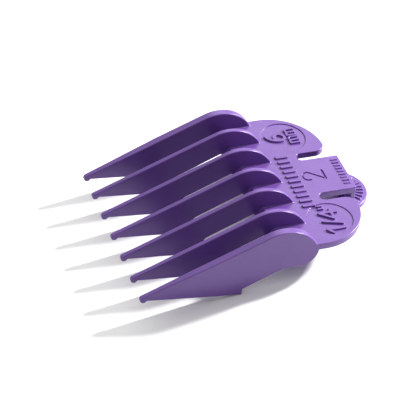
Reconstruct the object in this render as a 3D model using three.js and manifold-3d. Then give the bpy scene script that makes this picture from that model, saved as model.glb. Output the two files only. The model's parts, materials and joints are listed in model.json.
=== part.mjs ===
// A clipper guard comb: seven tapering teeth under a flat deck, two round wings behind the teeth,
// and a springy latch tongue between the wings that ends in a hooked wall and a thumb tab.
//
// The comb is drawn flat first. In that drawing the deck's upper, skin-side face is z = 0, the teeth
// point along -X, their ridges reach the deck at x = 0, and +Y is to the right seen from the thumb tab.
// The whole comb is then laid down as it rests on a table, on its end teeth's heels and its thumb tab.
import * as THREE from "three";
import { mergeVertices } from "three/addons/utils/BufferGeometryUtils.js";
import Module from "manifold-3d";

const wasm = await Module();
wasm.setup();

// ---- Driving dimensions, millimetres and radians ----

// Teeth
const TOOTH_COUNT = 7;
const PITCH = 7.65; // centre to centre
const HALF_WIDTH = 23.6; // middle of the comb to the end teeth's outer faces
const INNER_TOOTH = 1.2; // thickness
const END_TOOTH = 1.95; // thickness
const END_TAPER = 0.7; // an end tooth's outer face leans in by this much at its tip
const RIDGE_ANGLE = THREE.MathUtils.degToRad(23.2); // skin-side ridge, climbing towards the deck
const CROWN_RADIUS = 9.2; // round top of the ridge
const CROWN_X = -8.2;
const TIP_RADIUS = 0.82; // round nub at a tooth's end
const TIP_X = -41.05; // centre of the nub
const NUB_END_ANGLE = THREE.MathUtils.degToRad(330); // where the nub runs out, turning from +X
const NECK = { x: -39.8, z: -9.45 }; // where the nub meets the tooth's lower edge

// Blade seat: the slope under the teeth that the clipper's blade lies against
const SEAT_ANGLE = THREE.MathUtils.degToRad(24.4);
const SEAT_TOP_X = -10.15; // where the seat reaches the deck's underside
const INNER_HEEL = { x: -21.6, z: -11.35 }; // lowest point behind the blade's edge
const END_SEAT_X = -23.8; // an end tooth's seat starts a little further forward
const END_HEEL = { x: -17.35, z: -11.7 };

// Skirts: thin walls on the end teeth that flank the blade
const SKIRT_THICKNESS = 1.1;
const SKIRT_STEP_TOP = -10.1; // top of the small step behind the heel
const SKIRT_BOTTOM = -5.85;
const SKIRT_FLAT = { front: -7.85, back: -3.6 };
const SKIRT_REAR_RADIUS = 4.3;

// Deck and wings
const DECK = 1.75; // thickness
const WEB_TOP_X = -7.7; // front edge of the deck between two teeth, on the skin side
const WEB_BOTTOM_X = -9.8; // and on the blade side
const WING_INNER_Y = 8.83;
const WING_CENTRE = { x: 2.55, y: 11.1 };
const WING_CORNER_RADIUS = 2.6;
const SLOT_END_X = 6.86; // closed end of the slot beside the tongue

// Latch
const TONGUE_HALF_WIDTH = 6.32;
const TONGUE_END_X = 16.85;
const FLEX_GAP = 0.3; // clearance at the tongue's root, where the plastic bends
const WALL_THICKNESS = 1.15;
const TAB_CENTRE_X = 15.2;
const TAB_RADIUS = 7.24;
const TAB_TOP = -5.6;
const TAB_THICKNESS = 1.4;
const HOOK_HALF_WIDTH = 4.5;
const HOOK_REACH = 1.4; // how far the hook stands forward under the blade's rear edge
const HOOK_TOP = { root: -4.9, nose: -5.5 };

const ARC_STEPS = 18;
const TRIM_OVERRUN = 1; // a trimming outline runs this far past what it trims
const TRIM_HALF_HEIGHT = 2 * CROWN_RADIUS; // more than a tooth's height

// ---- Sizes worked out from those ----

const crownCentre = { x: CROWN_X, z: -Math.sqrt(CROWN_RADIUS ** 2 - CROWN_X ** 2) };
const ridgeNormal = Math.PI / 2 + RIDGE_ANGLE;
const ridgeDrop = (CROWN_X - TIP_X) * Math.tan(RIDGE_ANGLE);
const tipCentre = {
  x: TIP_X,
  z: crownCentre.z - ridgeDrop + (CROWN_RADIUS - TIP_RADIUS) / Math.cos(RIDGE_ANGLE),
};
const wingRadius = HALF_WIDTH - WING_CENTRE.y;
const slotRadius = (WING_INNER_Y - TONGUE_HALF_WIDTH) / 2;
const slotCentreY = WING_INNER_Y - slotRadius;
const slotCentreX = SLOT_END_X + slotRadius;
const wallFrontX = TONGUE_END_X - WALL_THICKNESS;
const tabBottom = TAB_TOP - TAB_THICKNESS;
const endToothInnerY = HALF_WIDTH - END_TOOTH;

const seatHeight = (x) => -DECK + (x - SEAT_TOP_X) * Math.tan(SEAT_ANGLE);
const lowerEdge = (x, heel) => NECK.z + ((x - NECK.x) * (heel.z - NECK.z)) / (heel.x - NECK.x);
const toothY = (number) => ((TOOTH_COUNT + 1) / 2 - number) * PITCH;
const isEndTooth = (number) => number === 1 || number === TOOTH_COUNT;

// ---- Materials ----

const purple = new THREE.MeshStandardMaterial({ color: 0x8a5fc4, roughness: 0.38, metalness: 0 });

// ---- Helpers ----

// Keeps only positions and shares the vertices, so that a geometry counts as one closed surface.
function closed(geometry) {
  geometry.deleteAttribute("normal");
  geometry.deleteAttribute("uv");
  return mergeVertices(geometry, 1e-4);
}

function solidOf(geometry) {
  const { array } = geometry.getAttribute("position");
  const triVerts = new Uint32Array(geometry.index.array);
  return new wasm.Manifold(new wasm.Mesh({ numProp: 3, vertProperties: array, triVerts }));
}

function geometryOf(solid) {
  const mesh = solid.getMesh();
  const geometry = new THREE.BufferGeometry();
  geometry.setAttribute("position", new THREE.BufferAttribute(mesh.vertProperties, 3));
  geometry.setIndex(new THREE.BufferAttribute(mesh.triVerts, 1));
  return geometry;
}

// A side view, drawn as (x, z), made into a plate between two y planes.
function sidePlate(shape, yLow, yHigh) {
  const options = { depth: yHigh - yLow, bevelEnabled: false, curveSegments: ARC_STEPS };
  const geometry = closed(new THREE.ExtrudeGeometry(shape, options));
  geometry.rotateX(Math.PI / 2);
  geometry.translate(0, yHigh, 0);
  return geometry;
}

// A plan view, drawn as (x, y), made into a plate between two heights.
function planPlate(shape, zLow, zHigh) {
  const options = { depth: zHigh - zLow, bevelEnabled: false, curveSegments: ARC_STEPS };
  const geometry = closed(new THREE.ExtrudeGeometry(shape, options));
  geometry.translate(0, 0, zLow);
  return geometry;
}

// The same piece on the comb's other side, with its faces turned back outwards.
function mirrorY(geometry) {
  const mirrored = geometry.clone().scale(1, -1, 1);
  const corners = mirrored.index.array;
  for (let i = 0; i < corners.length; i += 3) {
    [corners[i + 1], corners[i + 2]] = [corners[i + 2], corners[i + 1]];
  }
  return mirrored;
}

const comb = new THREE.Group();

function addPiece(name, geometry, y = 0) {
  const mesh = new THREE.Mesh(geometry, purple);
  mesh.name = name;
  mesh.position.y = y;
  comb.add(mesh);
}

// ---- Teeth ----

// A tooth from the side: up the crown from the deck, down the ridge, round the nub, and back along
// the lower edge to the heel, the blade seat and the deck's underside.
function toothShape(heelX, heel) {
  const shape = new THREE.Shape();
  const deckAngle = Math.atan2(-crownCentre.z, -crownCentre.x);
  shape.moveTo(0, -DECK);
  shape.lineTo(0, 0);
  shape.absarc(crownCentre.x, crownCentre.z, CROWN_RADIUS, deckAngle, ridgeNormal, false);
  shape.absarc(tipCentre.x, tipCentre.z, TIP_RADIUS, ridgeNormal, NUB_END_ANGLE, false);
  shape.lineTo(NECK.x, NECK.z);
  shape.lineTo(heelX, lowerEdge(heelX, heel));
  shape.lineTo(heelX, seatHeight(heelX));
  shape.lineTo(SEAT_TOP_X, -DECK);
  shape.closePath();
  return shape;
}

// The +Y end tooth: a full-thickness plate trimmed by a plan outline that leans in towards the tip.
function endTooth() {
  const tipEnd = TIP_X - TIP_RADIUS;
  const front = tipEnd - TRIM_OVERRUN;
  const plan = new THREE.Shape();
  plan.moveTo(front, endToothInnerY);
  plan.lineTo(TRIM_OVERRUN, endToothInnerY);
  plan.lineTo(TRIM_OVERRUN, HALF_WIDTH);
  plan.lineTo(END_SEAT_X, HALF_WIDTH);
  plan.lineTo(tipEnd, HALF_WIDTH - END_TAPER);
  plan.lineTo(front, HALF_WIDTH - END_TAPER);
  plan.closePath();
  const plate = sidePlate(toothShape(END_SEAT_X, END_HEEL), endToothInnerY, HALF_WIDTH);
  const trimmer = planPlate(plan, -TRIM_HALF_HEIGHT, TRIM_HALF_HEIGHT);
  return geometryOf(solidOf(plate).intersect(solidOf(trimmer)));
}

function buildTeeth() {
  const innerTooth = toothShape(INNER_HEEL.x, INNER_HEEL);
  const rightEnd = endTooth();
  addPiece("tooth_1", rightEnd);
  for (let number = 2; number < TOOTH_COUNT; number++) {
    const plate = sidePlate(innerTooth, -INNER_TOOTH / 2, INNER_TOOTH / 2);
    addPiece(`tooth_${number}`, plate, toothY(number));
  }
  addPiece(`tooth_${TOOTH_COUNT}`, mirrorY(rightEnd));
}

// ---- Skirts ----

// The wall below an end tooth's seat and the wing: heel, step, slope, flat and round rear end.
function skirtShape() {
  const shape = new THREE.Shape();
  const rearCentre = { x: SKIRT_FLAT.back, z: SKIRT_BOTTOM + SKIRT_REAR_RADIUS };
  const rearEnd = Math.asin((-DECK - rearCentre.z) / SKIRT_REAR_RADIUS);
  const { x, z } = END_HEEL;
  shape.moveTo(END_SEAT_X, lowerEdge(END_SEAT_X, END_HEEL));
  shape.lineTo(x, z);
  shape.lineTo(x, SKIRT_STEP_TOP);
  shape.lineTo(SKIRT_FLAT.front, SKIRT_BOTTOM);
  shape.absarc(rearCentre.x, rearCentre.z, SKIRT_REAR_RADIUS, -Math.PI / 2, rearEnd, false);
  shape.lineTo(SEAT_TOP_X, -DECK);
  shape.lineTo(END_SEAT_X, seatHeight(END_SEAT_X));
  shape.closePath();
  return shape;
}

function buildSkirts() {
  const shape = skirtShape();
  const skirt = sidePlate(shape, HALF_WIDTH - SKIRT_THICKNESS, HALF_WIDTH);
  addPiece("right_skirt", skirt);
  addPiece("left_skirt", mirrorY(skirt));
}

// ---- Deck ----

// The strip that joins the wings, with the slots' round closed ends cut out of its rear edge.
function buildDeckPlate() {
  const shape = new THREE.Shape();
  shape.moveTo(0, -WING_INNER_Y);
  shape.lineTo(slotCentreX, -WING_INNER_Y);
  shape.absarc(slotCentreX, -slotCentreY, slotRadius, -Math.PI / 2, Math.PI / 2, true);
  shape.absarc(slotCentreX, slotCentreY, slotRadius, -Math.PI / 2, Math.PI / 2, true);
  shape.lineTo(0, WING_INNER_Y);
  shape.closePath();
  addPiece("deck_plate", planPlate(shape, -DECK, 0));
}

// The webs of deck between neighbouring teeth, with their slanted front faces.
function buildWebs() {
  const shape = new THREE.Shape();
  shape.moveTo(0, 0);
  shape.lineTo(WEB_TOP_X, 0);
  shape.lineTo(WEB_BOTTOM_X, -DECK);
  shape.lineTo(0, -DECK);
  shape.closePath();
  for (let number = 1; number < TOOTH_COUNT; number++) {
    const outer = isEndTooth(number) ? endToothInnerY : toothY(number) - INNER_TOOTH / 2;
    const nextIsEnd = isEndTooth(number + 1);
    const inner = nextIsEnd ? -endToothInnerY : toothY(number + 1) + INNER_TOOTH / 2;
    addPiece(`deck_web_${number}`, sidePlate(shape, inner, outer));
  }
}

// A wing seen from above, on the +Y side: a big arc, a small corner and the slot's straight side.
function wingShape() {
  const shape = new THREE.Shape();
  const cornerY = WING_INNER_Y + WING_CORNER_RADIUS;
  const rise = cornerY - WING_CENTRE.y;
  const cornerX = WING_CENTRE.x + Math.sqrt((wingRadius - WING_CORNER_RADIUS) ** 2 - rise ** 2);
  const meeting = Math.atan2(rise, cornerX - WING_CENTRE.x);
  shape.moveTo(0, WING_INNER_Y);
  shape.lineTo(cornerX, WING_INNER_Y);
  shape.absarc(cornerX, cornerY, WING_CORNER_RADIUS, -Math.PI / 2, meeting, false);
  shape.absarc(WING_CENTRE.x, WING_CENTRE.y, wingRadius, meeting, Math.PI / 2, false);
  shape.lineTo(0, HALF_WIDTH);
  shape.closePath();
  return shape;
}

function buildWings() {
  const wing = planPlate(wingShape(), -DECK, 0);
  addPiece("right_wing", wing);
  addPiece("left_wing", mirrorY(wing));
}

// ---- Latch ----

function rectangle(xLow, xHigh, yLow, yHigh) {
  const shape = new THREE.Shape();
  shape.moveTo(xLow, yLow);
  shape.lineTo(xHigh, yLow);
  shape.lineTo(xHigh, yHigh);
  shape.lineTo(xLow, yHigh);
  shape.closePath();
  return shape;
}

function buildLatch() {
  const root = slotCentreX + FLEX_GAP;
  const width = TONGUE_HALF_WIDTH;
  addPiece("latch_tongue", planPlate(rectangle(root, TONGUE_END_X, -width, width), -DECK, 0));

  const wall = rectangle(wallFrontX, TONGUE_END_X, -width, width);
  addPiece("latch_wall", planPlate(wall, TAB_TOP, -DECK));

  const tab = new THREE.Shape();
  const tabEdge = Math.acos((wallFrontX - TAB_CENTRE_X) / TAB_RADIUS);
  tab.absarc(TAB_CENTRE_X, 0, TAB_RADIUS, -tabEdge, tabEdge, false);
  tab.closePath();
  addPiece("thumb_tab", planPlate(tab, tabBottom, TAB_TOP));

  const hook = new THREE.Shape();
  hook.moveTo(wallFrontX, tabBottom);
  hook.lineTo(wallFrontX, HOOK_TOP.root);
  hook.lineTo(wallFrontX - HOOK_REACH, HOOK_TOP.nose);
  hook.lineTo(wallFrontX - HOOK_REACH / 2, tabBottom);
  hook.closePath();
  addPiece("latch_hook", sidePlate(hook, -HOOK_HALF_WIDTH, HOOK_HALF_WIDTH));
}

buildTeeth();
buildSkirts();
buildDeckPlate();
buildWebs();
buildWings();
buildLatch();

// ---- Laying the comb down on its end heels and its thumb tab ----

const restRise = tabBottom - END_HEEL.z;
const restRun = TAB_CENTRE_X + TAB_RADIUS - END_HEEL.x;
comb.rotation.y = Math.atan2(restRise, restRun);

const box = new THREE.Box3().setFromObject(comb, true);
const middle = box.getCenter(new THREE.Vector3());
comb.position.set(-middle.x, -middle.y, -box.min.z);

const part = new THREE.Group();
part.add(comb);

export default part;
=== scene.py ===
"""A purple clipper guard comb: seven tapering teeth, a deck with two round wings and a springy latch.

The comb is one moulding, so its skin is worked out in one go from a distance function and then cut
into the named pieces, which therefore meet without a visible seam.
The shape is described in the plate's own frame, in millimetres: the deck's skin side is z = 0, the
teeth point along -X and +Y is to the right seen from the thumb tab.
"""
import json
import math

import bmesh
import bpy
import numpy as np
from mathutils import Matrix, Vector


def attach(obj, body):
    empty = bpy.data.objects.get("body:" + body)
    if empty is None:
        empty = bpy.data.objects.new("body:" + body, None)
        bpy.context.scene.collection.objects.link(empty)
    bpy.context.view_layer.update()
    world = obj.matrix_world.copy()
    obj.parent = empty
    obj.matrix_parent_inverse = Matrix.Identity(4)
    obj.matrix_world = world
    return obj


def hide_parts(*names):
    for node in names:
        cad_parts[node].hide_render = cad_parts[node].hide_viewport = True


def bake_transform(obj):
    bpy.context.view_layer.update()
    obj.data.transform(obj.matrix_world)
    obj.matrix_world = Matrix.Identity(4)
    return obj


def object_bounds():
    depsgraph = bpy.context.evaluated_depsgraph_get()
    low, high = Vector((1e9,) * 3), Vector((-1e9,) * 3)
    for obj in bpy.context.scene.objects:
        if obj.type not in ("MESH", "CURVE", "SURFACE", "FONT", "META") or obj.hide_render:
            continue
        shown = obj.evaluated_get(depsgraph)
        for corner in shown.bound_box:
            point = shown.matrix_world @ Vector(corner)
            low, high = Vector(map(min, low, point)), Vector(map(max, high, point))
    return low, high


MM = 0.001

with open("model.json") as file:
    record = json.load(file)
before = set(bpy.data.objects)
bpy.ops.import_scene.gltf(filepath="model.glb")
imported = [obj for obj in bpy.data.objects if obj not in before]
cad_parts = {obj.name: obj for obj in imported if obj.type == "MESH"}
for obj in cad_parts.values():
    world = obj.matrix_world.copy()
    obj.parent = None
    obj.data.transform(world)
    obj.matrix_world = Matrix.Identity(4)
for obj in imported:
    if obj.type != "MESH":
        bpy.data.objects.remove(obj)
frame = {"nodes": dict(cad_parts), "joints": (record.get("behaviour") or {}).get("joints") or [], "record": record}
cad_low, cad_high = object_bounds()

# ---- The plate's frame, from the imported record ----

HINGE_IN_PLATE = Vector((8.265, 0.0, -0.875))  # the flexing root, half way down the deck


def plate_frame():
    """The matrix from plate millimetres to row-frame metres."""
    mounts = frame["record"]["mounts"]
    seat = next(m for m in mounts if m["name"] == "blade_seat_deck")
    down = Vector(seat["axis"]).normalized()
    side = Vector((0.0, 1.0, 0.0))
    along = side.cross(-down).normalized()
    turn = Matrix((along, side, -down)).transposed()
    hinge = Vector(frame["joints"][0]["pos_m"])
    origin = hinge - turn @ (HINGE_IN_PLATE * MM)
    return Matrix.Translation(origin) @ turn.to_4x4() @ Matrix.Scale(MM, 4)


PLATE = plate_frame()
TO_PLATE = PLATE.inverted()


def plate_box(name):
    """(lowest corner, highest corner) of a CAD node in the plate's frame, in millimetres."""
    points = [TO_PLATE @ v.co for v in frame["nodes"][name].data.vertices]
    low = Vector([min(p[i] for p in points) for i in range(3)])
    high = Vector([max(p[i] for p in points) for i in range(3)])
    return low, high


# ---- Sizes read from the CAD, in plate millimetres ----

inner_low, inner_high = plate_box("tooth_4")
next_low, next_high = plate_box("tooth_3")
end_low, end_high = plate_box("tooth_1")
skirt_low, _ = plate_box("right_skirt")
deck_low, deck_high = plate_box("deck_plate")
wing_low, wing_high = plate_box("right_wing")
_, tongue_high = plate_box("latch_tongue")
wall_low, _ = plate_box("latch_wall")
hook_low, hook_high = plate_box("latch_hook")
tab_low, tab_high = plate_box("thumb_tab")

PITCH = (next_low.y + next_high.y) / 2 - (inner_low.y + inner_high.y) / 2
INNER_HALF = (inner_high.y - inner_low.y) / 2
HALF_WIDTH = end_high.y
END_INNER_Y = end_low.y
SKIRT_INNER_Y = skirt_low.y
DECK_BOTTOM = deck_low.z
SLOT_CENTRE_X = deck_high.x
WING_INNER_Y = wing_low.y
TONGUE_HALF = tongue_high.y
TONGUE_END = tongue_high.x
WALL_FRONT = wall_low.x
TAB_TOP = tab_high.z
TAB_BOTTOM = tab_low.z
TAB_RADIUS = tab_high.y
TAB_CENTRE_X = tab_high.x - TAB_RADIUS
HOOK_HALF = hook_high.y
HOOK_NOSE_X = hook_low.x
SLOT_RADIUS = (WING_INNER_Y - TONGUE_HALF) / 2
SLOT_CENTRE_Y = WING_INNER_Y - SLOT_RADIUS

# ---- Sizes that a node's box doesn't give, the same as in the CAD ----

RIDGE_ANGLE = math.radians(23.2)
SEAT_ANGLE = math.radians(24.4)
CROWN_RADIUS = 9.2
CROWN_X = -8.2
CROWN_Z = inner_high.z - CROWN_RADIUS
NUB_RADIUS = 0.82
NUB_X = inner_low.x + NUB_RADIUS
NECK_X = -39.8
NECK_Z = -9.45
SEAT_TOP_X = -10.15
INNER_HEEL_X = -21.6
INNER_HEEL_Z = -11.35
END_HEEL_X = -17.35
END_HEEL_Z = -11.7
END_SEAT_X = skirt_low.x
END_TAPER = 0.7
SKIRT_STEP_Z = -10.1
SKIRT_FLAT_X = -7.85
SKIRT_BACK_X = -3.6
SKIRT_REAR_RADIUS = 4.3
SKIRT_REAR_Z = -1.55
WEB_TOP_X = -7.7
WEB_BOTTOM_X = -9.8
WING_RADIUS = 12.5
WING_CORNER = 2.6
WING_CENTRE_X = wing_high.x - WING_RADIUS
WING_CENTRE_Y = HALF_WIDTH - WING_RADIUS
HOOK_ROOT_Z = -4.9
HOOK_NOSE_Z = -5.5

NUB_Z = (
    CROWN_Z
    - (CROWN_X - NUB_X) * math.tan(RIDGE_ANGLE)
    + (CROWN_RADIUS - NUB_RADIUS) / math.cos(RIDGE_ANGLE)
)

# ---- Small roundings of the moulding ----

TOOTH_EDGE = 0.24
RIDGE_EDGE = 0.1
LOWER_EDGE = 0.2
SEAT_FILLET = 0.3
NUB_FILLET = 0.12
DECK_EDGE = 0.2
WEB_EDGE = 0.12
TONGUE_CORNER = 0.35
ROOT_FILLET = 0.35
SKIRT_EDGE = 0.2
SKIRT_CORNER = 0.25
SKIRT_FILLET = 0.3
WALL_CORNER = 0.3
WALL_EDGE = 0.2
WALL_FILLET = 0.4
TAB_EDGE = 0.25
HOOK_EDGE = 0.1
HOOK_SIDE_EDGE = 0.15
HOOK_NOSE_EDGE = 0.18
HOOK_FILLET = 0.2
FINE_EDGE = 0.07
GROOVE_EDGE = 0.05

# ---- How far hidden ends reach into their neighbours ----

SKIRT_TOP_Z = -0.9
SKIRT_LEAD = 1.0  # a skirt's front end, forward of the end tooth's seat
MIDDLE_OVERLAP = 1.0
WALL_TOP_Z = -0.5
HOOK_ROOT_DEPTH = 0.4
MARK_SINK = 1.0

# ---- Where fillets fade out, as pairs from none to full ----

ROOT_FADE_Z = (-1.2, -0.5)
ROOT_SIDE_FADE = (0.3, 0.8)  # from the comb's sides
SKIRT_SIDE_FADE = (0.4, 0.8)
SKIRT_FILLET_X = SEAT_TOP_X + 1.5
WALL_END_FADE = (0.3, 0.8)  # from the tongue's end
WALL_SIDE_FADE = (0.2, 0.6)  # from the tongue's sides
HOOK_FADE = 0.3

# ---- Marks: badges, size figures, grip ribs ----

BADGE_X = 6.29
BADGE_Y = 15.56
BADGE_RADIUS = 5.47
BADGE_DEPTH = 0.2
FIGURE_TOP = 0.26
FIGURE_HALF_STROKE = 0.38
QUOTE_HALF_STROKE = 0.27
SMALL_HALF_STROKE = 0.26
ENGRAVED_HALF_STROKE = 0.16
ENGRAVED_DEPTH = 0.3
SIX_AT = (BADGE_X - 1.0, BADGE_Y + 0.1)
FIRST_M_AT = (9.75, 13.0)
SECOND_M_AT = (9.75, 16.0)
QUARTER_AT = (6.5, -16.95)
INCHES_AT = (4.75, -11.95)
TWO_AT = (8.25, 0.15)
DECK_RIBS = {
    "middle_x": 3.05,
    "middle_y": -1.0,
    "pitch": 1.84,
    "each_side": 5,
    "half_width": 0.46,
    "half_length": 1.65,
    "corner": 0.3,
    "top": 0.4,
}
TONGUE_TICKS = {
    "middle_x": 15.3,
    "middle_y": 0.2,
    "pitch": 1.12,
    "each_side": 4,
    "half_width": 0.25,
    "half_length": 0.9,
    "corner": 0.15,
    "top": 0.26,
}
TAB_RIB_STEP = math.radians(12.0)
TAB_RIBS_EACH_SIDE = 5
TAB_RIB_HALF_WIDTH = 0.3
TAB_RIB_MIDDLE = 5.35  # from the tab's centre
TAB_RIB_HALF_LENGTH = 0.95
TAB_RIB_CORNER = 0.15
TAB_RIB_TOP = 0.32


# ---- Distance helpers: negative inside, in millimetres ----


def round_max(a, b, radius):
    """What is inside both, with the edge between them rounded."""
    outer = np.hypot(np.maximum(a + radius, 0), np.maximum(b + radius, 0))
    return np.minimum(np.maximum(a, b), -radius) + outer


def round_min(a, b, radius):
    """What is inside either, with a fillet in the corner between them."""
    return -round_max(-a, -b, radius)


def ramp(value, start, end):
    """0 at start, 1 at end and straight between them."""
    return np.clip((value - start) / (end - start), 0, 1)


FAR_AWAY = 99.0


def stroke(x, y, path):
    """Distance in the plane from a line through the points of a path."""
    nearest = np.full(x.shape, FAR_AWAY, x.dtype)
    for (ax, ay), (bx, by) in zip(path, path[1:]):
        dx = bx - ax
        dy = by - ay
        along = ((x - ax) * dx + (y - ay) * dy) / (dx * dx + dy * dy)
        along = np.clip(along, 0, 1)
        nearest = np.minimum(nearest, np.hypot(x - ax - along * dx, y - ay - along * dy))
    return nearest


def strokes(x, y, paths):
    """Distance in the plane from the nearest of several lines."""
    nearest = stroke(x, y, paths[0])
    for path in paths[1:]:
        nearest = np.minimum(nearest, stroke(x, y, path))
    return nearest


def arc(cx, cy, rx, ry, start, end, steps=10):
    """Points on an elliptical arc, angles in degrees from +X towards +Y."""
    angles = np.radians(np.linspace(start, end, steps + 1))
    return [(cx + rx * math.cos(a), cy + ry * math.sin(a)) for a in angles]


# ---- Size figures. They read with their tops towards the teeth (-X), from -Y to +Y ----


def figure_six(x, y):
    """A 6 with the middle of its bowl at (x, y)."""
    half_height = 1.35
    half_width = 1.25
    back_height = 3.3
    back_width = 2.6
    bowl = arc(x, y, half_height, half_width, 0, 360, 18)
    back = arc(x, y + half_height, back_height, back_width, 188, 270)
    return [bowl, back]


def letter_m(x, y):
    """A small m, its first stem's foot at (x, y)."""
    stem_gap = 1.15
    height = 2.3
    shoulder = 0.5
    arch_height = 0.55
    stems = [[(x, y), (x - height, y)]]
    arches = []
    for i in (1, 2):
        stem_y = y + i * stem_gap
        stems.append([(x, stem_y), (x - height + shoulder, stem_y)])
        arch_y = stem_y - stem_gap / 2
        arches.append(arc(x - height + arch_height, arch_y, arch_height, stem_gap / 2, 90, 270, 6))
    return stems + arches


def quarter_figures(x, y):
    """1/4 with its height's middle at x and its slash crossing y."""
    top = x - 2.2
    foot = x + 2.2
    one_y = y - 2.35
    four_y = y + 3.45
    bar_x = x + 0.8
    one = [(top + 1.0, one_y - 1.2), (top, one_y), (foot, one_y)]
    slash = [(foot, y - 0.75), (top, y + 0.6)]
    four_bar = [(top, four_y), (bar_x, y + 1.2), (bar_x, y + 4.4)]
    four_stem = [(top, four_y), (foot, four_y)]
    return [one, slash, four_bar, four_stem]


def inch_marks(x, y):
    """The two short strokes after the 1/4, the first one's top at (x, y)."""
    length = 1.1
    gap = 0.95
    return [[(x, place), (x + length, place)] for place in (y, y + gap)]


def figure_two(x, y):
    """A 2 drawn with one thin line, its middle near (x, y)."""
    bowl_height = 1.35
    bowl_width = 1.42
    foot_x = x + 2 * bowl_height
    hook = arc(x - bowl_height, y + 0.05, bowl_height, bowl_width, 285, 70, 12)
    return [hook + [(foot_x, y - 1.65), (foot_x, y + 1.6)]]


SIX = figure_six(*SIX_AT)
MM_LETTERS = letter_m(*FIRST_M_AT) + letter_m(*SECOND_M_AT)
QUARTER = quarter_figures(*QUARTER_AT)
INCHES = inch_marks(*INCHES_AT)
TWO = figure_two(*TWO_AT)


# ---- The teeth ----


def above_ridge(x, z):
    """A straight ridge that runs into the round crown."""
    dx = x - CROWN_X
    dz = z - CROWN_Z
    towards_tip = -dx * math.cos(RIDGE_ANGLE) - dz * math.sin(RIDGE_ANGLE)
    straight = -dx * math.sin(RIDGE_ANGLE) + dz * math.cos(RIDGE_ANGLE)
    return np.where(towards_tip > 0, straight, np.hypot(dx, dz)) - CROWN_RADIUS


def below_edge(x, z, heel_x, heel_z):
    """The straight lower edge from the neck to the heel."""
    slope = (heel_z - NECK_Z) / (heel_x - NECK_X)
    return (NECK_Z + slope * (x - NECK_X) - z) / math.hypot(1, slope)


def below_seat(x, z):
    """The slope that the clipper's blade lies on."""
    seat = DECK_BOTTOM + (x - SEAT_TOP_X) * math.tan(SEAT_ANGLE)
    return (seat - z) * math.cos(SEAT_ANGLE)


def tooth_profile(x, z, seat_x, heel_x, heel_z):
    """A tooth from the side."""
    behind = np.minimum(below_seat(x, z), DECK_BOTTOM - z)
    behind = round_min(behind, x - seat_x, SEAT_FILLET)
    side = round_max(behind, below_edge(x, z, heel_x, heel_z), LOWER_EDGE)
    side = round_max(side, above_ridge(x, z), RIDGE_EDGE)
    side = np.maximum(side, NUB_X - x)
    nub = np.hypot(x - NUB_X, z - NUB_Z) - NUB_RADIUS
    return round_min(side, nub, NUB_FILLET)


def inner_teeth(x, y, z):
    """The five thin teeth between the end teeth."""
    row = np.clip(np.round(y / PITCH), -2, 2)
    profile = tooth_profile(x, z, INNER_HEEL_X, INNER_HEEL_X, INNER_HEEL_Z)
    return round_max(profile, np.abs(y - row * PITCH) - INNER_HALF, TOOTH_EDGE)


def end_face(x):
    """Where an end tooth's outer face stands: it leans in towards the tip."""
    return HALF_WIDTH - END_TAPER * ramp(x, END_SEAT_X, inner_low.x)


def end_teeth(x, away, z):
    """The two thicker teeth at the comb's sides."""
    profile = tooth_profile(x, z, END_SEAT_X, END_HEEL_X, END_HEEL_Z)
    between = np.maximum(END_INNER_Y - away, away - end_face(x))
    return round_max(profile, between, TOOTH_EDGE)


def skirts(x, away, z):
    """The thin walls that flank the blade: heel, step, slope, flat and round rear end."""
    rear_x = np.maximum(x - SKIRT_BACK_X, 0)
    rear_z = np.maximum(SKIRT_REAR_Z - z, 0)
    flat = np.hypot(rear_x, rear_z) - SKIRT_REAR_RADIUS
    bottom = SKIRT_REAR_Z - SKIRT_REAR_RADIUS
    slope = (bottom - SKIRT_STEP_Z) / (SKIRT_FLAT_X - END_HEEL_X)
    rise = (SKIRT_STEP_Z + slope * (x - END_HEEL_X) - z) / math.hypot(1, slope)
    rise = np.maximum(rise, x - SKIRT_BACK_X)
    low = round_min(np.minimum(flat, rise), x - END_HEEL_X, SKIRT_CORNER)
    low = round_max(low, below_edge(x, z, END_HEEL_X, END_HEEL_Z), SKIRT_CORNER)
    side = np.maximum(low, np.maximum(above_ridge(x, z), z - SKIRT_TOP_Z))
    side = np.maximum(side, END_SEAT_X - SKIRT_LEAD - x)
    between = np.maximum(SKIRT_INNER_Y - away, away - end_face(x))
    return round_max(side, between, SKIRT_EDGE)


# ---- The deck and its wings ----


def deck_slab(x, away, z):
    """The flat deck with its wings, slots and tongue, and its slanted front between the teeth."""
    disc = np.hypot(np.maximum(x - WING_CENTRE_X, 0), away - WING_CENTRE_Y) - WING_RADIUS
    wing = round_max(disc, WING_INNER_Y - away, WING_CORNER)
    middle = np.maximum(x - SLOT_CENTRE_X, away - WING_INNER_Y - MIDDLE_OVERLAP)
    tongue = round_max(x - TONGUE_END, away - TONGUE_HALF, TONGUE_CORNER)
    plan = np.minimum(np.minimum(wing, middle), tongue)
    slot = np.hypot(np.maximum(SLOT_CENTRE_X - x, 0), away - SLOT_CENTRE_Y) - SLOT_RADIUS
    plan = np.maximum(plan, -slot)
    slab = round_max(plan, np.maximum(z, DECK_BOTTOM - z), DECK_EDGE)
    run = WEB_BOTTOM_X - WEB_TOP_X
    length = math.hypot(run, DECK_BOTTOM)
    front = ((x - WEB_TOP_X) * DECK_BOTTOM - z * run) / length
    return round_max(slab, front, WEB_EDGE)


# ---- The latch ----


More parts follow.
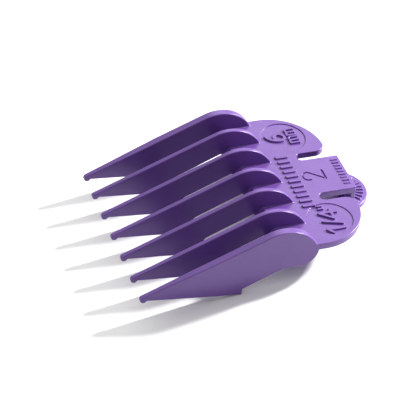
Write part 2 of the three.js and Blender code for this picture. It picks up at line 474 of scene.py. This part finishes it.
def wall_and_tab(x, away, z):
    """The wall under the tongue's end, standing on the thumb tab."""
    wall = np.maximum(WALL_FRONT - x, x - TONGUE_END)
    wall = round_max(wall, away - TONGUE_HALF, WALL_CORNER)
    wall = round_max(wall, np.maximum(z - WALL_TOP_Z, TAB_BOTTOM - z), WALL_EDGE)
    tab = np.maximum(np.hypot(x - TAB_CENTRE_X, away) - TAB_RADIUS, WALL_FRONT - x)
    tab = round_max(tab, np.maximum(z - TAB_TOP, TAB_BOTTOM - z), TAB_EDGE)
    over_tab = ramp(z, TAB_BOTTOM + WALL_FILLET, TAB_TOP)
    behind_wall = ramp(x, TONGUE_END - WALL_FILLET, TONGUE_END)
    return round_min(wall, tab, WALL_FILLET * over_tab * behind_wall)


def hook_lip(x, away, z):
    """The lip on the wall's inner face that catches the blade's rear edge."""
    reach = WALL_FRONT - HOOK_NOSE_X
    slope = (HOOK_ROOT_Z - HOOK_NOSE_Z) / reach
    top = (z - HOOK_ROOT_Z - slope * (x - WALL_FRONT)) / math.hypot(1, slope)
    lean = (HOOK_NOSE_Z - TAB_BOTTOM) / (reach / 2)
    nose = (HOOK_NOSE_Z - lean * (x - HOOK_NOSE_X) - z) / math.hypot(1, lean)
    hook = round_max(top, nose, HOOK_NOSE_EDGE)
    root = x - WALL_FRONT - HOOK_ROOT_DEPTH
    hook = round_max(hook, np.maximum(TAB_BOTTOM - z, root), HOOK_EDGE)
    return round_max(hook, away - HOOK_HALF, HOOK_SIDE_EDGE)


def latch(x, away, z):
    """The wall, its hook and the thumb tab."""
    over_tab = ramp(z, TAB_BOTTOM + WALL_FILLET, TAB_TOP)
    before_wall = ramp(x, WALL_FRONT + HOOK_FADE, WALL_FRONT)
    fillet = HOOK_FILLET * over_tab * before_wall
    return round_min(wall_and_tab(x, away, z), hook_lip(x, away, z), fillet)


# ---- Marks on the skin side ----


def badge_marks(solid, x, y, z):
    """Round recesses in the wings, with raised figures on their floors."""
    reach = np.hypot(x - BADGE_X, np.abs(y) - BADGE_Y) - BADGE_RADIUS
    cut = np.maximum(reach, -BADGE_DEPTH - z)
    solid = round_max(solid, -cut, FINE_EDGE)
    figures = strokes(x, y, SIX + QUARTER) - FIGURE_HALF_STROKE
    small = strokes(x, y, MM_LETTERS) - SMALL_HALF_STROKE
    marks = strokes(x, y, INCHES) - QUOTE_HALF_STROKE
    plan = np.minimum(np.minimum(figures, small), marks)
    raised = round_max(plan, np.maximum(z - FIGURE_TOP, -MARK_SINK - z), FINE_EDGE)
    return round_min(solid, raised, FINE_EDGE)


def ribs_across(row, x, y, z):
    """A straight row of raised ribs, each one running along X."""
    side_y = y - row["middle_y"]
    number = np.clip(np.round(side_y / row["pitch"]), -row["each_side"], row["each_side"])
    across = np.abs(side_y - number * row["pitch"]) - row["half_width"]
    along = np.abs(x - row["middle_x"]) - row["half_length"]
    plan = round_max(across, along, row["corner"])
    return round_max(plan, np.maximum(z - row["top"], -MARK_SINK - z), FINE_EDGE)


def near_ribs(row, x, y):
    """Where a row of ribs may be."""
    margin = 0.8
    reach_y = row["each_side"] * row["pitch"] + row["half_width"] + margin
    near_x = np.abs(x - row["middle_x"]) < row["half_length"] + margin
    return near_x & (np.abs(y - row["middle_y"]) < reach_y)


def tab_ribs(x, y, z):
    """Raised grip ribs that fan out along the thumb tab's round edge."""
    angle = np.arctan2(y, x - TAB_CENTRE_X)
    number = np.round(angle / TAB_RIB_STEP)
    number = np.clip(number, -TAB_RIBS_EACH_SIDE, TAB_RIBS_EACH_SIDE)
    radius = np.hypot(x - TAB_CENTRE_X, y)
    across = radius * np.abs(np.sin(angle - number * TAB_RIB_STEP)) - TAB_RIB_HALF_WIDTH
    along = np.abs(radius - TAB_RIB_MIDDLE) - TAB_RIB_HALF_LENGTH
    plan = round_max(across, along, TAB_RIB_CORNER)
    height = z - TAB_TOP
    return round_max(plan, np.maximum(height - TAB_RIB_TOP, -MARK_SINK - height), FINE_EDGE)


def where_near(near, distance, change, x, y, z):
    """The distance with a change applied only to the points that are near."""
    if not near.any():
        return distance
    changed = distance.copy()
    changed[near] = change(distance[near], x[near], y[near], z[near])
    return changed


def joined_with(shape):
    """A change for where_near that adds a raised shape to the solid."""
    return lambda solid, x, y, z: round_min(solid, shape(x, y, z), FINE_EDGE)


def engrave_two(solid, x, y, z):
    """The figure on the tongue, cut into it."""
    groove = np.maximum(strokes(x, y, TWO) - ENGRAVED_HALF_STROKE, -ENGRAVED_DEPTH - z)
    return round_max(solid, -groove, GROOVE_EDGE)


MARK_REACH_Z = 1.2  # no mark goes further than this from the face it is on
TWO_REACH_X = 4.0
TWO_REACH_Y = 3.0
BADGE_MARGIN = 1.0
TAB_FILLET_CLEARANCE = 0.6


def with_marks(solid, x, y, z):
    """The solid with its badges, figures and ribs."""
    top = np.abs(z) < MARK_REACH_Z
    from_badge = np.hypot(x - BADGE_X, np.abs(y) - BADGE_Y)
    badge = top & (from_badge < BADGE_RADIUS + BADGE_MARGIN)
    solid = where_near(badge, solid, badge_marks, x, y, z)
    two_x, two_y = TWO_AT
    two = top & (np.abs(x - two_x) < TWO_REACH_X) & (np.abs(y - two_y) < TWO_REACH_Y)
    solid = where_near(two, solid, engrave_two, x, y, z)
    for row in (DECK_RIBS, TONGUE_TICKS):
        ribs = joined_with(lambda x, y, z, row=row: ribs_across(row, x, y, z))
        solid = where_near(top & near_ribs(row, x, y), solid, ribs, x, y, z)
    tab = (np.abs(z - TAB_TOP) < MARK_REACH_Z) & (x > TONGUE_END + TAB_FILLET_CLEARANCE)
    return where_near(tab, solid, joined_with(tab_ribs), x, y, z)


# ---- The whole moulding ----


def moulding(x, y, z):
    """Distance to the comb's skin. Each fillet fades out where the two faces it joins are flush."""
    away = np.abs(y)
    teeth = np.minimum(inner_teeth(x, y, z), end_teeth(x, away, z))
    from_side = HALF_WIDTH - away
    fillet = ROOT_FILLET * ramp(z, *ROOT_FADE_Z) * ramp(from_side, *ROOT_SIDE_FADE)
    solid = round_min(teeth, deck_slab(x, away, z), fillet)
    fillet = SKIRT_FILLET * ramp(from_side, *SKIRT_SIDE_FADE) * (x > SKIRT_FILLET_X)
    solid = round_min(solid, skirts(x, away, z), fillet)
    along = ramp(TONGUE_END - x, *WALL_END_FADE)
    fillet = WALL_FILLET * along * ramp(TONGUE_HALF - away, *WALL_SIDE_FADE)
    solid = round_min(solid, latch(x, away, z), fillet)
    return with_marks(solid, x, y, z)


# ---- From the distance to a skin of faces ----

CELL = 0.15
BLOCK = 8  # cells along a block's side
BLOCKS_AT_ONCE = 500
MARGIN = 0.6
REACH_SAFETY = 1.5  # the distance may read low beside a rounding


def at_points(points):
    """The distance at each row of an array of places."""
    return moulding(points[:, 0], points[:, 1], points[:, 2])


def grid_axes():
    """The grid's lowest corner, and how many blocks it has on each axis."""
    low = np.array([inner_low.x, -HALF_WIDTH, END_HEEL_Z]) - MARGIN
    high = np.array([tab_high.x, HALF_WIDTH, inner_high.z]) + MARGIN
    blocks = np.ceil((high - low) / (CELL * BLOCK)).astype(int)
    return low, blocks


def block_offsets():
    """The cells of one block, counted from its lowest corner."""
    steps = np.arange(BLOCK)
    grid = np.stack(np.meshgrid(steps, steps, steps, indexing="ij"), -1)
    return grid.reshape(-1, 3)


def sample_grid():
    """Distances on a regular grid, worked out finely only in the blocks that the skin may pass."""
    low, blocks = grid_axes()
    index = np.stack(np.meshgrid(*[np.arange(n) for n in blocks], indexing="ij"), -1)
    index = index.reshape(-1, 3)
    middle = low + (index * BLOCK + (BLOCK - 1) / 2) * CELL
    coarse = at_points(middle)
    shape = tuple(blocks)
    filled = np.repeat(coarse.reshape(shape), BLOCK, 0)
    filled = np.repeat(np.repeat(filled, BLOCK, 1), BLOCK, 2).astype(np.float32)
    reach = BLOCK * CELL * 0.5 * math.sqrt(3) * REACH_SAFETY
    near = index[np.abs(coarse) < reach]
    offsets = block_offsets()
    for part in np.array_split(near, max(1, len(near) // BLOCKS_AT_ONCE)):
        cells = (part[:, None, :] * BLOCK + offsets[None]).reshape(-1, 3)
        filled[cells[:, 0], cells[:, 1], cells[:, 2]] = at_points(low + cells * CELL)
    return low, filled


CORNERS = [(i, j, k) for i in (0, 1) for j in (0, 1) for k in (0, 1)]
EDGES = [(a, b) for a in range(8) for b in range(a + 1, 8) if bin(a ^ b).count("1") == 1]


def cell_vertices(low, grid):
    """One vertex in each cell that the skin passes, at the mean of its edge crossings."""
    inside = grid < 0
    count = np.zeros(np.array(grid.shape) - 1, np.int8)
    for i, j, k in CORNERS:
        count += inside[i:, j:, k:][: count.shape[0], : count.shape[1], : count.shape[2]]
    cells = np.argwhere((count > 0) & (count < 8))
    values = np.stack([grid[tuple((cells + c).T)] for c in CORNERS], 1)
    total = np.zeros((len(cells), 3))
    crossings = np.zeros(len(cells))
    places = np.array(CORNERS, float)
    for a, b in EDGES:
        crossed = (values[:, a] < 0) != (values[:, b] < 0)
        gap = np.where(crossed, values[:, a] - values[:, b], 1.0)
        share = (values[:, a] / gap)[:, None]
        total += np.where(crossed[:, None], places[a] + share * (places[b] - places[a]), 0)
        crossings += crossed
    vertices = low + (cells + total / crossings[:, None]) * CELL
    number = np.full(count.shape, -1, np.int32)
    number[tuple(cells.T)] = np.arange(len(cells))
    return vertices, number, inside


def edge_quads(number, inside, axis):
    """A face across each grid edge along one axis that the skin crosses."""
    u, v = [a for a in range(3) if a != axis]
    first = np.take(inside, np.arange(inside.shape[axis] - 1), axis)
    second = np.take(inside, np.arange(1, inside.shape[axis]), axis)
    edges = np.argwhere(first != second)
    edges = edges[(edges[:, u] > 0) & (edges[:, v] > 0)]
    outward = first[tuple(edges.T)]
    around = []
    for du, dv in ((1, 1), (0, 1), (0, 0), (1, 0)):
        cell = edges.copy()
        cell[:, u] -= du
        cell[:, v] -= dv
        around.append(number[tuple(cell.T)])
    quads = np.stack(around, 1)
    turned = outward if axis != 1 else ~outward
    quads[~turned] = quads[~turned][:, ::-1]
    return quads


STEP = 0.01
LEAST_SLOPE_SQUARED = 0.25
FIRST_MOVE = 0.6 * CELL
SECOND_MOVE = 0.03


def slope_of(points):
    """Distance and its gradient."""
    value = at_points(points)
    slopes = np.empty_like(points)
    for i in range(3):
        shift = np.zeros(3)
        shift[i] = STEP
        slopes[:, i] = (at_points(points + shift) - at_points(points - shift)) / (2 * STEP)
    return value, slopes


def settle(points, rounds, limit):
    """Points moved onto the skin, each by no more than a limit."""
    start = points.copy()
    for _ in range(rounds):
        value, slopes = slope_of(points)
        size = np.maximum((slopes**2).sum(1), LEAST_SLOPE_SQUARED)
        points = points - slopes * (value / size)[:, None]
        points = start + np.clip(points - start, -limit, limit)
    return points


def skin_faces():
    """The skin's points and four-cornered faces."""
    low, grid = sample_grid()
    vertices, number, inside = cell_vertices(low, grid)
    faces = np.concatenate([edge_quads(number, inside, axis) for axis in range(3)])
    return settle(vertices, 2, FIRST_MOVE), faces


# ---- From faces to Blender meshes ----

FACES_KEPT = 230000


def mesh_from(vertices, faces):
    """A mesh from arrays of points and faces."""
    mesh = bpy.data.meshes.new("skin")
    mesh.vertices.add(len(vertices))
    mesh.vertices.foreach_set("co", vertices.astype(np.float32).ravel())
    mesh.loops.add(faces.size)
    mesh.loops.foreach_set("vertex_index", faces.astype(np.int32).ravel())
    mesh.polygons.add(len(faces))
    starts = np.arange(0, faces.size, faces.shape[1], dtype=np.int32)
    mesh.polygons.foreach_set("loop_start", starts)
    mesh.update(calc_edges=True)
    return mesh


def lightened(mesh):
    """The mesh with its flat parts in fewer faces."""
    carrier = bpy.data.objects.new("skin_work", mesh)
    bpy.context.scene.collection.objects.link(carrier)
    fewer = carrier.modifiers.new("fewer", "DECIMATE")
    fewer.ratio = min(1.0, FACES_KEPT / (2 * len(mesh.polygons)))
    graph = bpy.context.evaluated_depsgraph_get()
    made = bpy.data.meshes.new_from_object(carrier.evaluated_get(graph))
    bpy.data.objects.remove(carrier)
    return made


def vertex_array(mesh):
    """A mesh's points as an array."""
    flat = np.zeros(len(mesh.vertices) * 3, np.float32)
    mesh.vertices.foreach_get("co", flat)
    return flat.reshape(-1, 3).astype(float)


def skin_bmesh():
    """The whole skin in triangles, with a layer that marks the faces added by cuts."""
    mesh = lightened(mesh_from(*skin_faces()))
    points = settle(vertex_array(mesh), 2, SECOND_MOVE)
    mesh.vertices.foreach_set("co", points.astype(np.float32).ravel())
    skin = bmesh.new()
    skin.from_mesh(mesh)
    skin.faces.layers.int.new("cap")
    bmesh.ops.triangulate(skin, faces=skin.faces[:])
    return skin


CUT_SNAP = 1e-4
LEAST_AGREEMENT = 0.3  # cosine between a true normal and its face's; below it the face's is used


def half_of(body, point, normal, keep_front):
    """A closed copy of the part of a body on one side of a plane."""
    half = body.copy()
    everything = half.verts[:] + half.edges[:] + half.faces[:]
    cut = bmesh.ops.bisect_plane(
        half,
        geom=everything,
        dist=CUT_SNAP,
        plane_co=point,
        plane_no=normal,
        clear_outer=not keep_front,
        clear_inner=keep_front,
    )
    rim = [e for e in cut["geom_cut"] if isinstance(e, bmesh.types.BMEdge) and e.is_boundary]
    if rim:
        facing = -Vector(normal) if keep_front else Vector(normal)
        made = bmesh.ops.holes_fill(half, edges=rim, sides=0)
        cap = half.faces.layers.int["cap"]
        for face in made["faces"]:
            face[cap] = 1
            face.normal_update()
            if face.normal.dot(facing) < 0:
                face.normal_flip()
    bmesh.ops.triangulate(half, faces=half.faces[:])
    return half


def split(body, axis, place):
    """The parts of a body below and above a place on an axis."""
    normal = [0.0, 0.0, 0.0]
    normal[axis] = 1.0
    point = [n * place for n in normal]
    below = half_of(body, point, normal, False)
    above = half_of(body, point, normal, True)
    body.free()
    return below, above


def loop_normals(mesh, caps):
    """The skin's true normals, and flat ones on the faces where pieces were parted."""
    points = vertex_array(mesh)
    _, slopes = slope_of(points)
    slopes /= np.maximum(np.linalg.norm(slopes, axis=1), 1e-9)[:, None]
    corners = np.zeros(len(mesh.loops), np.int32)
    mesh.loops.foreach_get("vertex_index", corners)
    normals = slopes[corners]
    flat = np.zeros(len(mesh.polygons) * 3, np.float32)
    mesh.polygons.foreach_get("normal", flat)
    per_corner = np.repeat(flat.reshape(-1, 3), 3, 0)
    wrong = (normals * per_corner).sum(1) < LEAST_AGREEMENT
    use_flat = np.repeat(caps, 3) | wrong
    normals[use_flat] = per_corner[use_flat]
    return normals


def piece_from(body, name, nodes, material):
    """A named piece in the row frame, standing in for one or more CAD nodes."""
    cap = body.faces.layers.int["cap"]
    caps = np.array([f[cap] == 1 for f in body.faces], bool)
    mesh = bpy.data.meshes.new(name)
    body.to_mesh(mesh)
    body.free()
    normals = loop_normals(mesh, caps)
    mesh.shade_smooth()
    mesh.normals_split_custom_set(normals.tolist())
    mesh.transform(PLATE)
    mesh.materials.append(material)
    piece = bpy.data.objects.new(name, mesh)
    bpy.context.scene.collection.objects.link(piece)
    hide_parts(*nodes)
    return piece


# ---- Where the pieces part ----

CUT_BACK_X = 1.05  # behind the ridges and the skirts' rear ends
CUT_TOOTH = 0.5  # beside a tooth's face, beyond its root fillet
CUT_END_Y = END_INNER_Y - CUT_TOOTH
CUT_TONGUE_X = 5.1
CUT_WALL_Z = DECK_BOTTOM - 0.5
CUT_TAB_X = TONGUE_END + 0.5
CUT_HOOK_X = WALL_FRONT - 0.25


def part_teeth(front, plastic):
    """The strip with the teeth, parted beside every tooth."""
    left, rest = split(front, 1, -CUT_END_Y)
    pieces = [piece_from(left, "left_end_tooth_and_skirt", ["tooth_7", "left_skirt"], plastic)]
    for number in range(6, 1, -1):
        y = (4 - number) * PITCH
        web, rest = split(rest, 1, y - INNER_HALF - CUT_TOOTH)
        pieces.append(piece_from(web, f"web_{number}", [f"deck_web_{number}"], plastic))
        tooth, rest = split(rest, 1, y + INNER_HALF + CUT_TOOTH)
        pieces.append(piece_from(tooth, f"comb_tooth_{number}", [f"tooth_{number}"], plastic))
    web, right = split(rest, 1, CUT_END_Y)
    pieces.append(piece_from(web, "web_1", ["deck_web_1"], plastic))
    nodes = ["tooth_1", "right_skirt"]
    pieces.append(piece_from(right, "right_end_tooth_and_skirt", nodes, plastic))
    return pieces


def part_latch(body, plastic):
    """The tongue, and the wall, hook and tab below it."""
    body, tab = split(body, 0, CUT_TAB_X)
    low, tongue = split(body, 2, CUT_WALL_Z)
    hook, wall = split(low, 0, CUT_HOOK_X)
    stiff = [
        piece_from(tab, "thumb_tab_pad", ["thumb_tab"], plastic),
        piece_from(wall, "latch_wall_strip", ["latch_wall"], plastic),
        piece_from(hook, "latch_hook_lip", ["latch_hook"], plastic),
    ]
    return piece_from(tongue, "springy_tongue", ["latch_tongue"], plastic), stiff


def build_comb(plastic):
    """The whole comb, parted into its pieces and given to the comb and the latch."""
    front, back = split(skin_bmesh(), 0, CUT_BACK_X)
    fixed = part_teeth(front, plastic)
    left, rest = split(back, 1, -SLOT_CENTRE_Y)
    middle, right = split(rest, 1, SLOT_CENTRE_Y)
    fixed.append(piece_from(left, "left_wing_plate", ["left_wing"], plastic))
    fixed.append(piece_from(right, "right_wing_plate", ["right_wing"], plastic))
    deck, flexing = split(middle, 0, CUT_TONGUE_X)
    fixed.append(piece_from(deck, "deck_strip", ["deck_plate"], plastic))
    tongue, stiff = part_latch(flexing, plastic)
    for piece in fixed:
        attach(piece, "comb")
    for piece in stiff:
        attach(piece, "latch")
    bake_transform(tongue)


# ---- Materials ----


class Shader:
    """A small helper that adds and joins shader nodes."""

    def __init__(self, name):
        self.material = bpy.data.materials.new(name)
        self.material.use_nodes = True
        self.tree = self.material.node_tree
        self.surface = self.tree.nodes["Principled BSDF"]

    def node(self, kind):
        """A new node of a kind."""
        return self.tree.nodes.new(kind)

    def join(self, source, output, target, socket):
        """A link from a node's output to another node's socket."""
        self.tree.links.new(source.outputs[output], target.inputs[socket])


def noise(shader, place, scale, detail, roughness):
    """A cloudy value that varies over the object."""
    made = shader.node("ShaderNodeTexNoise")
    made.inputs["Scale"].default_value = scale
    made.inputs["Detail"].default_value = detail
    made.inputs["Roughness"].default_value = roughness
    shader.join(place, "Object", made, "Vector")
    return made


NOISE_LOW = 0.3
NOISE_HIGH = 0.7


def band(shader, source, low, high):
    """A noise's usual range, spread between two values."""
    made = shader.node("ShaderNodeMapRange")
    made.inputs["From Min"].default_value = NOISE_LOW
    made.inputs["From Max"].default_value = NOISE_HIGH
    made.inputs["To Min"].default_value = low
    made.inputs["To Max"].default_value = high
    shader.join(source, "Fac", made, "Value")
    return made


def bump(shader, source, strength, distance):
    """Small hills in the surface, from a noise."""
    made = shader.node("ShaderNodeBump")
    made.inputs["Strength"].default_value = strength
    made.inputs["Distance"].default_value = distance
    shader.join(source, "Fac", made, "Height")
    return made


PURPLE = (0.115, 0.046, 0.246, 1.0)
PURPLE_DEEP = (0.104, 0.041, 0.226, 1.0)
CLOUD_SCALE = 90.0
CLOUD_EDGES = (0.35, 0.65)
GLOSS_SCALE = 400.0
PLASTIC_ROUGHNESS = (0.30, 0.40)
GRAIN_SCALE = 4200.0
GRAIN_STRENGTH = 0.12
GRAIN_DEPTH = 0.00003
WAVE_SCALE = 160.0
WAVE_STRENGTH = 0.25
WAVE_DEPTH = 0.00006
PLASTIC_IOR = 1.53
SUBSURFACE_WEIGHT = 0.04
SUBSURFACE_SCALE = 0.0008
SUBSURFACE_RADIUS = (1.0, 0.5, 1.2)


def clouded_colour(shader, place):
    """The base colour, with faint darker clouds."""
    cloud = noise(shader, place, CLOUD_SCALE, 3.0, 0.5)
    tint = shader.node("ShaderNodeValToRGB")
    for stop, edge, colour in zip(tint.color_ramp.elements, CLOUD_EDGES, (PURPLE_DEEP, PURPLE)):
        stop.position = edge
        stop.color = colour
    shader.join(cloud, "Fac", tint, "Fac")
    shader.join(tint, "Color", shader.surface, "Base Color")


def moulded_surface(shader, place):
    """A fine grain over long shallow waves, with slightly uneven gloss."""
    gloss = noise(shader, place, GLOSS_SCALE, 4.0, 0.6)
    roughness = band(shader, gloss, *PLASTIC_ROUGHNESS)
    shader.join(roughness, "Result", shader.surface, "Roughness")
    grain = noise(shader, place, GRAIN_SCALE, 2.0, 0.5)
    waves = noise(shader, place, WAVE_SCALE, 1.0, 0.4)
    fine = bump(shader, grain, GRAIN_STRENGTH, GRAIN_DEPTH)
    broad = bump(shader, waves, WAVE_STRENGTH, WAVE_DEPTH)
    shader.join(fine, "Normal", broad, "Normal")
    shader.join(broad, "Normal", shader.surface, "Normal")


def purple_plastic():
    """Satin moulded plastic that lets a little light in."""
    shader = Shader("purple_plastic")
    place = shader.node("ShaderNodeTexCoord")
    clouded_colour(shader, place)
    moulded_surface(shader, place)
    surface = shader.surface
    surface.inputs["IOR"].default_value = PLASTIC_IOR
    surface.inputs["Subsurface Weight"].default_value = SUBSURFACE_WEIGHT
    surface.inputs["Subsurface Scale"].default_value = SUBSURFACE_SCALE
    surface.inputs["Subsurface Radius"].default_value = SUBSURFACE_RADIUS
    return shader.material


FLOOR_COLOUR = (0.88, 0.88, 0.88, 1.0)
FLOOR_GRAIN_SCALE = 60.0
FLOOR_ROUGHNESS = (0.55, 0.62)
FLOOR_SPECULAR = 0.2


def white_sweep():
    """A plain pale paper floor."""
    shader = Shader("white_sweep")
    place = shader.node("ShaderNodeTexCoord")
    paper = noise(shader, place, FLOOR_GRAIN_SCALE, 3.0, 0.5)
    roughness = band(shader, paper, *FLOOR_ROUGHNESS)
    shader.join(roughness, "Result", shader.surface, "Roughness")
    shader.surface.inputs["Base Color"].default_value = FLOOR_COLOUR
    shader.surface.inputs["Specular IOR Level"].default_value = FLOOR_SPECULAR
    return shader.material


# ---- Stage, camera and light ----

FLOOR_HALF = 1.6


def build_floor():
    """A large square to stand on, centred under the comb."""
    mesh = bpy.data.meshes.new("floor")
    corners = [(-1, -1), (1, -1), (1, 1), (-1, 1)]
    points = [(x * FLOOR_HALF, y * FLOOR_HALF, 0.0) for x, y in corners]
    mesh.from_pydata(points, [], [(0, 1, 2, 3)])
    mesh.materials.append(white_sweep())
    floor = bpy.data.objects.new("floor", mesh)
    bpy.context.scene.collection.objects.link(floor)


VIEW_AZIMUTH = math.radians(-17.737)
VIEW_ELEVATION = math.radians(42.183)
VIEW_ROLL = math.radians(-1.96)
VIEW_DISTANCE = 0.48993
VIEW_LENS = 179.04
VIEW_SHIFT_RIGHT = -0.007506  # the point looked at, from the comb's centre
VIEW_SHIFT_UP = -0.002616
SENSOR_WIDTH = 36.0
CLIP_START = 0.01
CLIP_END = 10.0


def direction(azimuth, elevation):
    """The unit vector from the comb towards a place round it."""
    flat = math.cos(elevation)
    return Vector((math.sin(azimuth) * flat, -math.cos(azimuth) * flat, math.sin(elevation)))


def build_camera():
    """A long lens, looking down at the comb from in front of its near side."""
    centre = (cad_low + cad_high) / 2
    back = direction(VIEW_AZIMUTH, VIEW_ELEVATION)
    turn = (-back).to_track_quat("-Z", "Y").to_matrix()
    turn = turn @ Matrix.Rotation(VIEW_ROLL, 3, "Z")
    aim = centre + turn @ Vector((VIEW_SHIFT_RIGHT, VIEW_SHIFT_UP, 0.0))
    data = bpy.data.cameras.new("camera")
    data.lens = VIEW_LENS
    data.sensor_width = SENSOR_WIDTH
    data.clip_start = CLIP_START
    data.clip_end = CLIP_END
    camera = bpy.data.objects.new("camera", data)
    camera.matrix_world = Matrix.Translation(aim + back * VIEW_DISTANCE) @ turn.to_4x4()
    bpy.context.scene.collection.objects.link(camera)
    bpy.context.scene.camera = camera


KEY = {"azimuth": 97.5, "elevation": 26.0, "distance": 0.6, "size": 0.05, "power": 9.2}
SHEEN = {"azimuth": 152.0, "elevation": 38.0, "distance": 0.6, "size": 0.32, "power": 0.56}


def add_light(name, azimuth, elevation, distance, size, power):
    """A round lamp aimed at the comb, placed by angles in degrees."""
    data = bpy.data.lights.new(name, "AREA")
    data.shape = "DISK"
    data.size = size
    data.energy = power
    light = bpy.data.objects.new(name, data)
    towards = direction(math.radians(azimuth), math.radians(elevation))
    light.location = towards * distance
    light.rotation_mode = "QUATERNION"
    light.rotation_quaternion = towards.to_track_quat("Z", "Y")
    bpy.context.scene.collection.objects.link(light)


SKY_TOWARDS = (0.10, 0.42, 0.90)  # the brightest part of the surroundings
SKY_DIM = 0.38
SKY_BRIGHT = 1.2
SKY_SPREAD = (0.25, 1.0)  # how near a place is to the brightest part, from dim to bright


def build_sky():
    """White surroundings, bright above and behind the comb and dim on the viewer's side."""
    world = bpy.data.worlds.new("studio")
    world.use_nodes = True
    tree = world.node_tree
    place = tree.nodes.new("ShaderNodeTexCoord")
    facing = tree.nodes.new("ShaderNodeVectorMath")
    facing.operation = "DOT_PRODUCT"
    facing.inputs[1].default_value = SKY_TOWARDS
    level = tree.nodes.new("ShaderNodeMapRange")
    level.inputs["From Min"].default_value = SKY_SPREAD[0]
    level.inputs["From Max"].default_value = SKY_SPREAD[1]
    level.inputs["To Min"].default_value = SKY_DIM
    level.inputs["To Max"].default_value = SKY_BRIGHT
    sky = tree.nodes["Background"]
    sky.inputs["Color"].default_value = (1.0, 1.0, 1.0, 1.0)
    tree.links.new(place.outputs["Generated"], facing.inputs[0])
    tree.links.new(facing.outputs["Value"], level.inputs["Value"])
    tree.links.new(level.outputs["Result"], sky.inputs["Strength"])
    bpy.context.scene.world = world


def build_light():
    """The surroundings, the main lamp and a broad weak one for the sheen on the deck."""
    build_sky()
    add_light("key", **KEY)
    add_light("sheen_panel", **SHEEN)


bpy.context.scene.view_settings.view_transform = "Standard"
build_comb(purple_plastic())
build_floor()
build_camera()
build_light()
